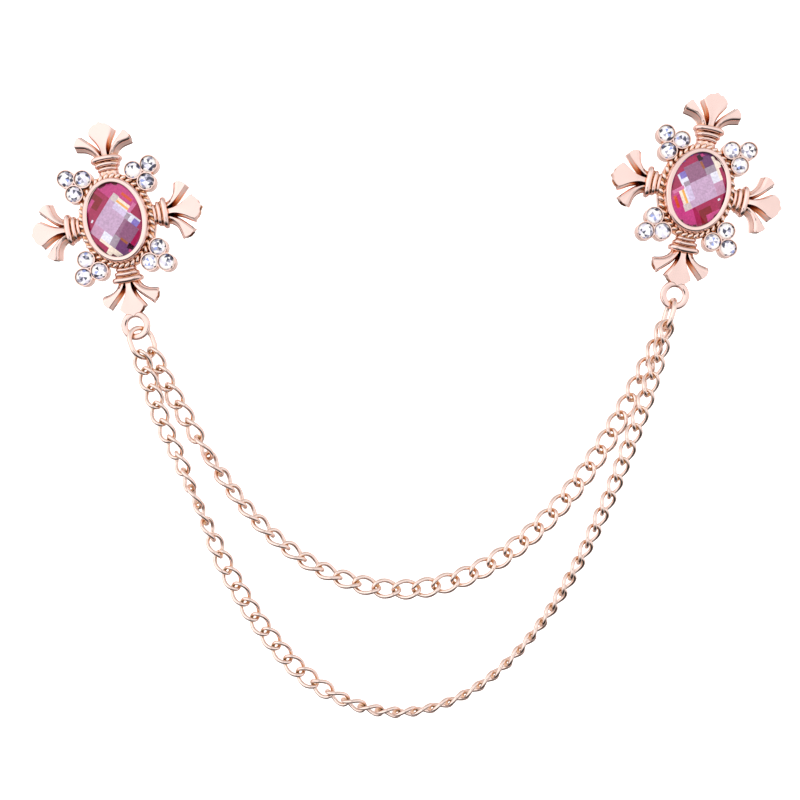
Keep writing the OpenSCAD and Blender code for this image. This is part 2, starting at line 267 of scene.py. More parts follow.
def foiledGlass(name, kind):
    # cut glass on a mirror foil: each facet a flat tint of colour and painted reflection and shade; hard
    # gloss
    material, tree, shader = newMaterial(name)
    tint = addNode(tree, "ShaderNodeAttribute", {"attribute_name": "facetTintAndReflection"})
    place = addNode(tree, "ShaderNodeTexCoord")
    flecks = addNode(tree, "ShaderNodeTexNoise", {"Scale": 1 / (glass["fleck"] * metresPerMm)},
                     {"Vector": place.outputs["Object"]})
    depth, mottle = glass["depth"][kind], glass["mottle"][kind]
    shade = addNode(tree, "ShaderNodeMapRange",
                    {"To Min": depth * (1 - mottle), "To Max": depth * (1 + mottle)}, {"Value": flecks})
    colour = addNode(tree, "ShaderNodeVectorMath", {"operation": "SCALE"},
                     {0: tint.outputs["Color"], "Scale": shade})
    tree.links.new(colour.outputs[0], shader.inputs["Base Color"])
    shader.inputs["Roughness"].default_value = glass["roughness"]
    shader.inputs["IOR"].default_value = glass["ior"]
    return material


castGold = polishedPlate("polishedRoseGoldPlateOnZinc", "cast")
ropeGold = polishedPlate("polishedRoseGoldPlateOnRope", "rope")
wireGold = polishedPlate("roseGoldPlateOnDrawnWire", "wire")
pinkGlass = foiledGlass("foiledPinkGlass", "pink")
clearGlass = foiledGlass("foiledClearGlass", "clear")
print("finishes made")


# Cast settings

seat = {
    "wall": 0.45, "top": 3.7, "lip": 0.65, "plate": 1.2, "around": 96, "crease": 34,
    "low": 0.4,  # mm, height at which the bezel starts, inside the foot
    "tuck": 0.3,  # mm that the bezel reaches in over the plate
    # section of the rim in mm: out of the wall or of the lip's edge, and below the top
    "shoulder": [(0.1, 1.7), (0.0, 0.8), (-0.13, 0.38), (-0.25, 0.12), (-0.42, 0.0)],
    "bead": [(0.22, 0.02), (0.06, 0.09), (0.0, 0.13), (0.05, 0.17)],
    "underLip": 0.55,  # mm below the top
    "step": 0.5,  # mm that the wall stands clear above the plate
    "foot": 1.1,  # mm between the bezel's wall and the foot's edge
    "footEdge": [(-0.05, 0.0), (0.02, 0.08), (0.0, 1.35), (-0.12, 1.5), (-1.1, 1.5)],  # out of edge, height
}


def bezel():
    # closed ring round the stone: wall, rounded shoulder, turned-in lip
    wall, top = seat["wall"], seat["top"]
    profile = [(-seat["tuck"], seat["low"]), (wall + seat["shoulder"][0][0], seat["low"])]
    profile += [(wall + out, top - below) for out, below in seat["shoulder"]]
    profile += [(out - seat["lip"], top - below) for out, below in seat["bead"]]
    profile += [(0.0, top - seat["underLip"]), (0.0, seat["plate"] + seat["step"])]
    profile.append((-seat["tuck"], seat["plate"]))
    a, b = stone["halfWidth"] + stone["gap"], stone["halfHeight"] + stone["gap"]
    rings = []
    for t in fullTurn(seat["around"]):
        out = Vector((b * math.cos(t), a * math.sin(t))).normalized()
        x, y = a * math.cos(t), b * math.sin(t)
        rings.append([(x + out.x * offset, y + out.y * offset, height) for offset, height in profile])
    return loft(rings, closed=True)


def basePlate():
    # flat-backed oval foot with a rounded shoulder under the rope border
    a, b = (stone[half] + seat["wall"] + seat["foot"] for half in ("halfWidth", "halfHeight"))
    return loft([ellipse(a + out, b + out, seat["around"], height) for out, height in seat["footEdge"]])


collar = {
    # place along the neck, half width, radius, height of each ridge
    "ridges": [(0.72, 1.75, 0.34, 2.35), (1.62, 2.1, 0.42, 2.55), (2.8, 2.6, 0.58, 2.75)],
    "steps": 22, "sides": 12,
    "bow": 0.22,  # mm that a ridge's middle lies further out than its ends
    "start": 0.75,  # height at which a ridge begins and ends
    "boxAcross": 0.75, "boxUp": 0.55,  # powers; below 1 they make the arch squarer
}


def ridge(x, halfWidth, radius, top):
    # rounded fold that arches over the sheaf
    path = []
    for i in range(collar["steps"] + 1):
        a = math.pi * i / collar["steps"]
        across = math.copysign(abs(math.cos(a)) ** collar["boxAcross"], math.cos(a))
        height = mix(collar["start"], top - radius, math.sin(a) ** collar["boxUp"])
        path.append((x + collar["bow"] * (1 - across * across), halfWidth * across, height))
    return sweep(path, radius, collar["sides"])


sheaf = {
    "reach": {90: 19.7, -90: 19.0, 0: 16.9, 180: 16.9},  # mm to the tip of the arm at each turn
    "neck": 10.1,  # mm from the tip back to the neck
    # pleated blocks; stations hold (mm past the neck, half width)
    "root": {"top": 1.8, "pleats": 3, "depth": 0.2,
             "stations": [(-1.3, 2.3), (-0.4, 2.05), (0.6, 1.9), (3.4, 1.6)]},
    "fan": {"top": 1.9, "pleats": 4, "depth": 0.1, "stations": [(0.8, 1.85), (1.8, 2.4), (2.9, 3.0)]},
    "low": 0.35, "shoulder": 0.9, "boxiness": 3.2, "across": 24,
    "midFrom": 2.7, "sideFrom": 2.6,  # mm past the neck where the petals start
    "sideShort": 3.2,  # mm that the side petals end before the tip
}


def pleatedBlock(spec, neck):
    # block along +x with a crowned, pleated top
    rings = []
    for place, half in spec["stations"]:
        x = neck + place
        ring = [(x, half, sheaf["low"]), (x, -half, sheaf["low"])]
        for j in range(sheaf["across"] + 1):
            v = -1 + 2 * j / sheaf["across"]
            crown = math.sqrt(max(0.0, 1 - abs(v) ** sheaf["boxiness"]))
            fold = spec["depth"] * (0.5 - 0.5 * math.cos(spec["pleats"] * math.pi * v))
            ring.append((x, half * v, sheaf["shoulder"] + (spec["top"] - sheaf["shoulder"] - fold) * crown))
        rings.append(ring)
    return loft(rings)


petal = {
    # share of the length, half width, sideways bend, height of the middle
    "mid": [[0, 0.6, 0, 1.9], [0.25, 0.5, 0, 2.25], [0.42, 0.66, 0, 2.42], [0.64, 1.2, 0, 2.44],
            [0.82, 1.85, 0, 2.4], [1, 2.45, 0, 2.36]],
    "side": [[0, 0.5, 1.15, 1.8], [0.3, 0.42, 1.45, 2.1], [0.55, 0.46, 2.15, 2.3],
             [0.76, 0.62, 3.2, 2.3], [0.9, 0.95, 4.25, 2.26], [1, 1.26, 5.15, 2.2]],
    "back": 0.15, "stations": 22, "midBulge": 1.4, "sideBulge": 0.4, "dish": 0.05,
    "midRipple": 0.2, "sideRipple": 0.03,  # mm, waves of the cut end
    # mm in from the edge where the top face is sampled, and places across the flat between
    "inward": [0, 0.1, 0.2, 0.32, 0.44], "flat": [-0.66, -0.33, 0, 0.33, 0.66],
    "bevel": 0.1, "roll": 0.42, "rollWidth": 0.7,  # mm; a side petal rolls down towards the collar
    "draft": 0.3, "ledge": 0.14, "ledgeRise": 0.35, "ledgeEdge": 0.08,
    "soften": 0.06,  # share of the length over which the tables' corners are rounded
    "flareFrom": 0.5, "waves": 3,  # share from which the cut end shows, and its waves
    "tipOn": 0.06, "tipDown": 0.1,  # mm; a last ring rounds the cut end
}


def petalBlade(kind, fromR, toR, side):
    # ribbon petal along +x: flat top with a crisp edge, drafted walls on a thin ledge, wavy convex end
    table, bulge, ripple = petal[kind], petal[kind + "Bulge"], petal[kind + "Ripple"]
    low, draft, ledge = petal["back"], petal["draft"], petal["draft"] + petal["ledge"]
    rise = low + petal["ledgeRise"]
    rings = []
    for i in range(petal["stations"] + 2):
        share = min(1.0, i / petal["stations"])
        tip = 1 if i > petal["stations"] else 0
        near = [max(0.0, min(1.0, share + petal["soften"] * e)) for e in (-1, -0.5, 0, 0.5, 1)]
        rows = [tableRow(table, s, eased=False) for s in near]
        half, bend, height = [sum(column) / len(column) for column in zip(*rows)]
        run = (near[-1] - near[0]) * (toR - fromR)
        heading = Vector((run, (rows[-1][1] - rows[0][1]) * side)).normalized()
        normal = Vector((-heading.y, heading.x))
        grow = smooth((share - petal["flareFrom"]) / (1 - petal["flareFrom"]))

        def point(v, out, z):
            wave = ripple * math.cos(petal["waves"] * math.pi * v)
            end = grow * (bulge * (1 - v * v) + wave) + tip * petal["tipOn"]
            return (mix(fromR, toR, share) + normal.x * (half * v + out) + heading.x * end,
                    bend * side + normal.y * (half * v + out) + heading.y * end, z)

        edges = [-1 + d / half for d in petal["inward"]]
        across = edges + [v * (-edges[-1]) for v in petal["flat"]] + [-v for v in reversed(edges)]
        top = []
        for v in across:
            inside = (1 - abs(v)) * half
            drop = petal["bevel"] * max(0.0, 1 - inside / petal["inward"][1])
            if kind == "side" and v * side > 0:
                drop += petal["roll"] * max(0.0, 1 - inside / petal["rollWidth"]) ** 2
            top.append(point(v, 0, height - drop - petal["dish"] * (1 - v * v) - tip * petal["tipDown"]))
        wall = [(ledge, low), (ledge, rise - petal["ledgeEdge"]), (draft, rise)]
        left = [point(-1, -out, z) for out, z in wall]
        right = [point(1, out, z) for out, z in reversed(wall)]
        floor = [point(v, 0, low) for v in reversed(across[1:-1])]
        rings.append(left + top + right + floor)
    return loft(rings)


def arm(reach):
    # bound sheaf of three petals along +x
    neck = reach - sheaf["neck"]
    parts = [pleatedBlock(sheaf["root"], neck), pleatedBlock(sheaf["fan"], neck)]
    parts += [ridge(neck + place, half, radius, top) for place, half, radius, top in collar["ridges"]]
    parts.append(petalBlade("mid", neck + sheaf["midFrom"], reach - petal["midBulge"], 1))
    for side in (-1, 1):
        parts.append(petalBlade("side", neck + sheaf["sideFrom"], reach - sheaf["sideShort"], side))
    return joined(parts)


cluster = {
    "stone": 3.2, "gap": 0.03, "wall": 0.2, "top": 2.5, "floor": 0.75, "apart": 0.2,
    "middle": (6.9, 8.52), "turns": (43, 158, -79), "around": 40,  # turns in degrees
    "coreDown": 0.4,  # mm that the metal between the cups lies below their tops
    "web": [(3.2, 7.4), (4.6, 8.6), (7.4, 6.0), (6.2, 4.2)],  # outline of the tie to the foot
    "lifts": (0.02, 0.01),  # mm that core and web start higher, so that no two faces coincide
    "boreTop": 5, "soften": 0.07, "softenSteps": 2, "softenAngle": 50,
}
spacing = (cluster["stone"] + cluster["apart"]) / math.sqrt(3)  # mm from a cluster's middle to its stones
cluster["at"] = [(cluster["middle"][0] + spacing * math.cos(math.radians(turn)),
                  cluster["middle"][1] + spacing * math.sin(math.radians(turn)))
                 for turn in cluster["turns"]]
quarters = [(1, 1), (-1, 1), (-1, -1), (1, -1)]  # mirror signs of top right, top left, and so on


def looseObject(part):
    # helper solid in millimetres
    mesh = bpy.data.meshes.new("loose")
    mesh.from_pydata(part[0], [], part[1])
    shell = outward(mesh)
    shell.to_mesh(mesh)
    shell.free()
    return newObject("loose", mesh)


def trefoil():
    # three cups in one body: joined, bored for the stones, edges softened
    bore = cluster["stone"] / 2 + cluster["gap"]
    coreLow, webLow = cluster["lifts"]
    cups, bores = [], []
    for centre in cluster["at"]:
        cups.append(prism(circle(centre, bore + cluster["wall"], cluster["around"]), 0, cluster["top"]))
        bores.append(prism(circle(centre, bore, cluster["around"]), cluster["floor"], cluster["boreTop"]))
    core = prism(cluster["at"], coreLow, cluster["top"] - cluster["coreDown"])
    web = prism(cluster["web"], webLow, seat["plate"])
    body = looseObject(cups[0])
    helpers = []
    for operation, parts in (("UNION", (*cups[1:], core, web)), ("DIFFERENCE", bores)):
        for part in parts:
            step = body.modifiers.new("join", "BOOLEAN")
            step.operation = operation
            step.solver = "EXACT"
            step.object = looseObject(part)
            helpers.append(step.object)
    soften = body.modifiers.new("soften", "BEVEL")
    soften.width = cluster["soften"]
    soften.segments = cluster["softenSteps"]
    soften.limit_method = "ANGLE"
    soften.angle_limit = math.radians(cluster["softenAngle"])
    done = plainMesh(body, "trefoil")
    made = [tuple(v.co) for v in done.data.vertices], [tuple(p.vertices) for p in done.data.polygons]
    for helper in (*helpers, done):
        bpy.data.objects.remove(helper)
    return made


loopRing = {
    "drop": 21.1, "radius": 2.25, "half": 0.45, "flat": 0.22, "rise": 1.75, "around": 56, "sides": 16,
    "tongue": [(-0.9, -16.5), (0.9, -16.5), (0.8, -19.0), (-0.8, -19.0)],
    "tongueLow": 1.32, "tongueTop": 2.05,
}


def hangingLoop():
    # flat-sided ring under the lowest petal, with its tongue
    rings = []
    for t in fullTurn(loopRing["around"]):
        ring = []
        for a in fullTurn(loopRing["sides"]):
            across = math.copysign(loopRing["flat"], math.cos(a)) + loopRing["half"] * math.cos(a)
            radius = loopRing["radius"] + across
            ring.append((radius * math.cos(t), radius * math.sin(t) - loopRing["drop"],
                         loopRing["rise"] + loopRing["half"] * math.sin(a)))
        rings.append(ring)
    tongue = prism(loopRing["tongue"], loopRing["tongueLow"], loopRing["tongueTop"])
    return joined([loft(rings, closed=True), tongue])


pin = {
    # radius and height, from the foot to the blunted point
    "profile": [(1.1, 0.0), (1.1, -0.35), (0.62, -0.6), (0.5, -0.8), (0.5, -9.0), (0.42, -9.2),
                (0.12, -9.6)],
    "sides": 24,
}


def post():
    # plain pin on the back with a small foot
    return loft([ellipse(radius, radius, pin["sides"], height) for radius, height in pin["profile"]])


def castPart():
    # everything that is cast in one, round the middle of the stone
    parts = [bezel(), basePlate()]
    for turn, reach in sheaf["reach"].items():
        parts.append(moved(arm(reach), Matrix.Rotation(math.radians(turn), 4, "Z")))
    cups = trefoil()
    parts += [moved(cups, Matrix.Diagonal((flipX, flipY, 1, 1))) for flipX, flipY in quarters]
    return joined(parts + [hangingLoop(), post()])


casting = castPart()
settings = {side: makePiece(side + "Setting", casting, castGold, seat["crease"], onBrooch(side))
            for side in brooch}
print("settings made")


# Rope border by nodes

rope = {
    "strands": 38, "radius": 0.45, "length": 1.75, "height": 1.85, "segments": 14, "rings": 9,
    "slant": 48,  # degrees out of the oval's line
    "reach": 0.9,  # mm between the stone's edge and the rope's middle line
}


def startTree(name, sizes):
    # node tree with a geometry input and named inputs; their sockets come back with it
    tree = bpy.data.node_groups.new(name, "GeometryNodeTree")
    tree.interface.new_socket("Geometry", in_out="INPUT", socket_type="NodeSocketGeometry")
    for size, kind in sizes.items():
        tree.interface.new_socket(size, in_out="INPUT", socket_type="NodeSocket" + kind)
    tree.interface.new_socket("Geometry", in_out="OUTPUT", socket_type="NodeSocketGeometry")
    return tree, addNode(tree, "NodeGroupInput").outputs


def endTree(tree, placed, finish):
    # instances made real, smooth and finished
    real = addNode(tree, "GeometryNodeRealizeInstances", None, {0: placed})
    soft = addNode(tree, "GeometryNodeSetShadeSmooth", None, {0: real})
    done = addNode(tree, "GeometryNodeSetMaterial", None, {0: soft, "Material": finish})
    addNode(tree, "NodeGroupOutput", None, {0: done})
    return tree


def ropeTree():
    # slanted strands on every point of an oval
    tree, given = startTree("ropeBorder", {
        "Strands": "Int", "Half Width": "Float", "Half Height": "Float", "Height": "Float",
        "Strand Radius": "Float", "Strand Length": "Float", "Slant": "Float", "Finish": "Material"})
    ring = addNode(tree, "GeometryNodeCurvePrimitiveCircle", {"Radius": 1.0},
                   {"Resolution": given["Strands"]})
    spot = addNode(tree, "GeometryNodeInputPosition")
    oval = addNode(tree, "ShaderNodeCombineXYZ", None, {0: given["Half Width"], 1: given["Half Height"]})
    there = addNode(tree, "ShaderNodeVectorMath", {"operation": "MULTIPLY"}, {0: spot, 1: oval})
    lift = addNode(tree, "ShaderNodeCombineXYZ", None, {2: given["Height"]})
    path = addNode(tree, "GeometryNodeSetPosition", None,
                   {"Geometry": ring, "Position": there, "Offset": lift})
    points = addNode(tree, "GeometryNodeCurveToPoints", {"mode": "EVALUATED"}, {"Curve": path})
    strand = addNode(tree, "GeometryNodeMeshUVSphere",
                     {"Segments": rope["segments"], "Rings": rope["rings"], "Radius": 1.0})
    stretch = addNode(tree, "ShaderNodeCombineXYZ", None,
                      {0: given["Strand Radius"], 1: given["Strand Length"], 2: given["Strand Radius"]})
    # along the tangent first, then slanted out of it
    heading = addNode(tree, "FunctionNodeAlignRotationToVector", {"axis": "Y"},
                      {"Vector": points.outputs["Tangent"]})
    tilt = addNode(tree, "ShaderNodeCombineXYZ", None, {2: given["Slant"]})
    turn = addNode(tree, "FunctionNodeEulerToRotation", None, {0: tilt})
    both = addNode(tree, "FunctionNodeRotateRotation", {"rotation_space": "LOCAL"}, {0: heading, 1: turn})
    placed = addNode(tree, "GeometryNodeInstanceOnPoints", None,
                     {"Points": points, "Instance": strand, "Rotation": both, "Scale": stretch})
    return endTree(tree, placed, given["Finish"])


def throughNodes(name, mesh, tree, values, matrix=None):
    # runs a node tree on a mesh and keeps the plain result, in metres
    holder = newObject(name, mesh)
    modifier = holder.modifiers.new("nodes", "NODES")
    modifier.node_group = tree
    for socket in tree.interface.items_tree:
        if socket.in_out == "INPUT" and socket.name in values:
            modifier[socket.identifier] = values[socket.name]
    piece = plainMesh(holder, name)
    if matrix is not None:
        piece.data.transform(matrix)
    piece.data.transform(Matrix.Scale(metresPerMm, 4))
    return piece


borderTree = ropeTree()
borders = {side: throughNodes(side + "RopeBorder", bpy.data.meshes.new("start"), borderTree, {
    "Strands": rope["strands"], "Half Width": stone["halfWidth"] + rope["reach"],
    "Half Height": stone["halfHeight"] + rope["reach"], "Height": rope["height"],
    "Strand Radius": rope["radius"], "Strand Length": rope["length"] / 2,
    "Slant": math.radians(rope["slant"]), "Finish": ropeGold,
}, onBrooch(side)) for side in brooch}
print("rope borders made")


# Oval stones

ovalCut = {
    "table": 0.51, "ring": 0.89, "culet": 0.34,  # shares of the stone's half sizes
    "tableZ": 1.26, "ringZ": 0.46, "girdle": 0.3, "culetZ": -1.72,  # mm from the girdle's upper edge
}
# plain colours, each channel in steps of hex 11
# the glass's own crimson and pink, and painted reflections and shade: the whites, creams, golds, greys,
# blues, browns and blacks
tint = {
    "crimson": "AA2255", "deepRed": "881122", "magenta": "CC4488", "paleMauve": "CCAACC",
    "lilac": "DDCCEE", "darkMauve": "996688", "greyMauve": "AA99AA", "violet": "8877CC",
    "nearWhite": "EEEEFF", "cream": "FFEEDD", "gold": "FFBB66", "orange": "DD5533", "plum": "774477",
    "brown": "AA6644", "black": "331122", "wine": "662233", "beige": "DDCCCC", "pinkMauve": "CC99BB",
    "blue": "5544AA", "pink": "DD77AA",
}
# Lights and shades that show in the stone, on a skew grid whose origin is the table's top corner:
# u runs down to the right, v down to the left, in mm. A later row lies over an earlier one.
chart = {
    "origin": (0.06, 3.94), "slope": 48,
    "outside": 9,  # mm; a line further out misses the stone
    # u from and to, v from and to, tint
    "cells": [
        (-9, -0.2, -9, 20, "crimson"), (-9, 20, 7.7, 20, "crimson"), (-9, 4.7, -9, 0, "magenta"),
        (4.7, 20, -9, 0, "crimson"), (7.8, 20, -1, 4.7, "crimson"), (-4, -1.2, 1.0, 3.6, "deepRed"),
        (-9, -2.6, 2.2, 6.5, "magenta"), (-0.2, 4.4, 0, 5.6, "paleMauve"), (1.2, 4.2, 0, 1.15, "lilac"),
        (-0.2, 1.15, -1.45, 0, "beige"), (1.15, 4.0, -1.3, -0.75, "cream"),
        (1.15, 4.0, -0.75, -0.3, "gold"), (1.15, 7.1, -0.3, 0.04, "nearWhite"),
        (4.0, 4.7, -2.3, -0.1, "pink"), (1.1, 3.6, -2.6, -2.0, "orange"),
        (1.1, 3.9, -2.0, -1.45, "magenta"), (4.2, 5.1, 0.04, 1.25, "greyMauve"),
        (5.1, 5.9, 0.04, 1.25, "nearWhite"), (5.9, 7.2, 0.04, 1.25, "violet"),
        (4.4, 7.8, 1.25, 4.9, "darkMauve"), (4.4, 5.8, 4.9, 7.2, "greyMauve"),
        (5.8, 8.2, 4.9, 7.2, "plum"), (5.8, 7.4, 4.6, 5.1, "brown"), (7.6, 8.8, 4.5, 5.6, "black"),
        (8.2, 20, 5.4, 8.2, "magenta"), (2.3, 4.4, 5.6, 7.2, "nearWhite"),
        (-0.2, 2.3, 5.6, 7.7, "pinkMauve"), (2.3, 20, 7.2, 7.8, "cream"), (4.7, 20, 7.2, 20, "cream"),
        (-1.1, -0.7, 5.4, 6.0, "nearWhite"),
    ],
    # edge of the stone, with painted reflection: from and to in degrees round the oval, tint
    "rim": [(-62, 12, "blue"), (75, 180, "wine"), (-180, -95, "wine"), (-95, -62, "plum")],
    "rimShare": 0.9,
}


def ovalCrown():
    # facets of the dome: 4 table corners, 12 on the ring, 24 round the girdle, 8 on the culet
    a, b, cut = stone["halfWidth"], stone["halfHeight"], ovalCut
    # ring corners in line with the table's lie lower, which keeps the long facets flat
    fall = (cut["ring"] - cut["table"]) / (cut["ring"] * math.cos(math.pi / 6) - cut["table"])
    tip = mix(cut["tableZ"], cut["ringZ"], fall)
    verts = ellipse(a * cut["table"], b * cut["table"], 4, cut["tableZ"])
    ring = ellipse(a * cut["ring"], b * cut["ring"], 12, cut["ringZ"])
    verts += [(x, y, z if i % 3 else tip) for i, (x, y, z) in enumerate(ring)]
    verts += ellipse(a, b, 24, 0.0) + ellipse(a, b, 24, -cut["girdle"])
    verts += ellipse(a * cut["culet"], b * cut["culet"], 8, cut["culetZ"])
    ringAt, girdleAt, underAt, culetAt = 4, 16, 40, 64  # first corner of each row
    faces = [(0, 1, 2, 3)]
    for i in range(4):
        near = ringAt + 3 * i
        faces.append((i, near + 1, near + 2, (i + 1) % 4))
        faces.append((i, ringAt + (3 * i + 11) % 12, near, near + 1))
    for i in range(12):
        p, q = ringAt + i, ringAt + (i + 1) % 12
        g, h, k = (girdleAt + (2 * i + n) % 24 for n in range(3))
        faces += [(p, h, q), (p, g, h), (q, h, k)]
    for i in range(24):
        k = (i + 1) % 24
        faces.append((girdleAt + i, underAt + i, underAt + k, girdleAt + k))
    for i in range(8):
        low, nextLow = culetAt + i, culetAt + (i + 1) % 8
        g, h, k, far = (underAt + (3 * i + n) % 24 for n in range(4))
        faces += [(g, low, h), (h, low, k), (k, nextLow, far), (k, low, nextLow)]
    faces.append(tuple(range(culetAt, culetAt + 8)))
    return verts, faces


def chartTint(x, y, turn):
    # name of the tint that shows at a place of the stone
    place = Matrix.Rotation(math.radians(-turn), 2) @ Vector((x, y))
    slope = math.radians(chart["slope"])
    across = (place.x - chart["origin"][0]) / math.cos(slope)
    down = (chart["origin"][1] - place.y) / math.sin(slope)
    u, v = (down + across) / 2, (down - across) / 2
    name = "crimson"
    for uFrom, uTo, vFrom, vTo, cell in chart["cells"]:
        if uFrom <= u < uTo and vFrom <= v < vTo:
            name = cell
    return name


def cutShards(cut, stoneTurn):
    # cuts the crown along the chart's lines, so that each shard is a face of its own
    slope = math.radians(chart["slope"])
    origin = stoneTurn @ Vector((*chart["origin"], 0))
    for column, sign in ((0, 1), (2, -1)):
        along = stoneTurn @ Vector((sign * math.cos(slope), -math.sin(slope), 0))
        other = stoneTurn @ Vector((-sign * math.cos(slope), -math.sin(slope), 0))
        normal = other.cross(Vector((0, 0, 1)))
        for value in sorted({cell[column + k] for cell in chart["cells"] for k in (0, 1)}):
            if abs(value) < chart["outside"]:
                crown = [f for f in cut.faces if f.normal.z > 0.1]
                edges = dict.fromkeys(e for f in crown for e in f.edges)
                corners = dict.fromkeys(v for f in crown for v in f.verts)
                bmesh.ops.bisect_plane(cut, geom=[*crown, *edges, *corners], dist=1e-5,
                                       plane_co=origin + along * value, plane_no=normal)


def ovalStone(side):
    turn = brooch[side]["stoneTurn"]
    stoneTurn = Matrix.Rotation(math.radians(turn), 4, "Z")
    cut = bmesh.new()
    verts, faces = ovalCrown()
    made = [cut.verts.new(v) for v in verts]
    for face in faces:
        cut.faces.new([made[v] for v in face])
    bmesh.ops.recalc_face_normals(cut, faces=cut.faces)
    cutShards(cut, stoneTurn)
    # each shard's colour mixes the glass's own crimson with the painted reflection and shade of the chart
    layer = cut.loops.layers.float_color.new("facetTintAndReflection")
    for face in cut.faces:
        centre = face.calc_center_median()
        name = chartTint(centre.x, centre.y, turn)
        reach = math.hypot(centre.x / stone["halfWidth"], centre.y / stone["halfHeight"])
        local = stoneTurn.inverted() @ centre
        angle = math.degrees(math.atan2(local.y, local.x))
        for low, high, rimTint in chart["rim"]:
            if reach > chart["rimShare"] and low < angle < high:
                name = rimTint
        for loop in face.loops:
            loop[layer] = srgb(tint[name])
        face.smooth = False
    mesh = bpy.data.meshes.new(side + "OvalStone")
    cut.to_mesh(mesh)
    cut.free()
    mesh.transform(Matrix.Translation((0, 0, stone["seat"])))
    mesh.transform(onBrooch(side))
    mesh.transform(Matrix.Scale(metresPerMm, 4))
    mesh.materials.append(pinkGlass)
    return newObject(side + "OvalStone", mesh)


ovalStones = {side: ovalStone(side) for side in brooch}
print("oval stones made")


# Round stones

brilliant = {
    "crown": 0.5, "girdle": 0.12, "pavilion": 1.1,  # mm high
    "sink": 0.34,  # mm that the girdle lies below the cup's top
    "play": 0.02,  # mm that the stone is smaller than its named radius
    "table": 0.56, "shoulder": 0.78, "shoulderRise": 0.62,  # shares of the radius, and of the crown
    # painted reflection on a facet, and its share of the facets
    "paintedGlints": [("FFFFFF", 0.54), ("E6E4F4", 0.18), ("A2A2B8", 0.12), ("4A4C60", 0.12), ("98A8E4", 0.04)],
}


def roundStone(centre, dice):
    # brilliant, 8 corners round the table and 16 round the girdle; the table is split, because its
    # shards are the pavilion seen through it
    radius = cluster["stone"] / 2 - brilliant["play"]
    crown = brilliant["crown"]
    x0, y0 = centre
    z0 = cluster["top"] - brilliant["sink"]
    spin = dice.random() * math.pi / 4

    def ring(share, height, count, offset=0.0):
        out = radius * share
        return [(x0 + out * math.cos(spin + t), y0 + out * math.sin(spin + t), z0 + height)
                for t in fullTurn(count, offset)]

    verts = [(x0, y0, z0 + crown)]
    verts += ring(brilliant["table"], crown, 8)
    verts += ring(brilliant["shoulder"], crown * brilliant["shoulderRise"], 8, 0.5)
    verts += ring(1, 0.0, 16) + ring(1, -brilliant["girdle"], 16)
    verts.append((x0, y0, z0 - brilliant["pavilion"]))
    tableAt, shoulderAt, girdleAt, underAt, tipAt = 1, 9, 17, 33, 49  # first corner of each row
    faces = []
    for i in range(8):
        a, b = tableAt + i, tableAt + (i + 1) % 8
        up, before = shoulderAt + i, shoulderAt + (i + 7) % 8
        g, h, k = (girdleAt + (2 * i + j) % 16 for j in range(3))
        faces += [(0, a, b), (a, up, b), (a, before, g, up), (up, g, h), (up, h, k)]
    for i in range(16):
        k = (i + 1) % 16
        faces += [(girdleAt + i, underAt + i, underAt + k, girdleAt + k), (underAt + i, tipAt, underAt + k)]
    # every facet of the clear glass shows a painted reflection, drawn at random
    codes, shares = zip(*brilliant["paintedGlints"])
    return verts, faces, dice.choices(codes, shares, k=len(faces))


def roundStones(side):
    dice = random.Random(brooch[side]["seed"])
    parts, names = [], []
    for flipX, flipY in quarters:
        for x, y in cluster["at"]:
            verts, faces, paintedGlints = roundStone((x * flipX, y * flipY), dice)
            parts.append((verts, faces))
            names += paintedGlints
    piece = makePiece(side + "RoundStones", joined(parts), clearGlass, matrix=onBrooch(side))
    layer = piece.data.color_attributes.new("facetTintAndReflection", "FLOAT_COLOR", "CORNER")
    for polygon, code in zip(piece.data.polygons, names):
        polygon.use_smooth = False
        for loop in polygon.loop_indices:
            layer.data[loop].color = srgb(code)
    return piece


clusterStones = {side: roundStones(side) for side in brooch}
print("round stones made")


# Jump rings and chains

jumpRing = {
    "wire": 1.0, "length": 6.2, "width": 5.0, "around": 56, "sides": 14,
    "turn": {"left": 52, "right": -4}, "slant": {"left": 21, "right": -17}, "forward": 4,  # degrees
    "hang": {"left": 0.6, "right": 0.98},  # mm from the loop's middle to the ring's top
}
# Of each chain: degrees round the ring's foot where its end links hang and the way they lead off,
# each link's roll in degrees and the curve's bow in mm, both as rows of [share of the length, value].
chains = {
    "upperChain": {
        "links": 38, "pitch": 3.975, "wire": 0.86, "width": 4.15, "slack": 0.36, "depth": 1.9,
        "from": (31, 28), "out": ((0.4, 0, -0.917), (-0.42, 0, -0.907)),
        "roll": [[0, 14], [0.085, 22], [0.108, 36], [0.162, 100], [0.19, 114], [0.24, 114], [0.3, 120],
                 [0.38, 126], [0.43, 146], [0.51, 174], [0.88, 176], [1, 222]],
        "bow": [[0, 0], [0.1, 0.45], [0.16, 0.4], [0.28, 0], [0.45, 0.1], [0.6, 0.25], [0.8, 0.25],
                [0.93, 0.2], [1, 0]],
    },
    "lowerChain": {
        "links": 54, "pitch": 3.564, "wire": 0.78, "width": 3.9, "slack": 0.34, "depth": 4.1,
        "from": (-31, -28), "out": ((0.22, 0, -0.975), (-0.25, 0, -0.968)),
        "roll": [[0, 2], [0.057, 8], [0.076, 24], [0.113, 42], [0.151, 76], [0.189, 108], [0.226, 160],
                 [0.245, 175], [0.377, 175], [0.396, 200], [0.415, 228], [0.453, 240], [0.51, 252],
                 [0.64, 252], [0.72, 238], [0.8, 223], [0.88, 208], [0.94, 200], [0.97, 204], [1, 222]],
        "bow": [[0, 0], [0.05, 0.4], [0.12, 1.4], [0.18, 1.65], [0.24, 1.3], [0.3, 1.05], [0.38, 0.6],
                [0.46, 0.6], [0.55, 0.75], [0.65, 0.85], [0.75, 0.9], [0.86, 0.7], [0.94, 0.35], [1, 0]],
    },
}
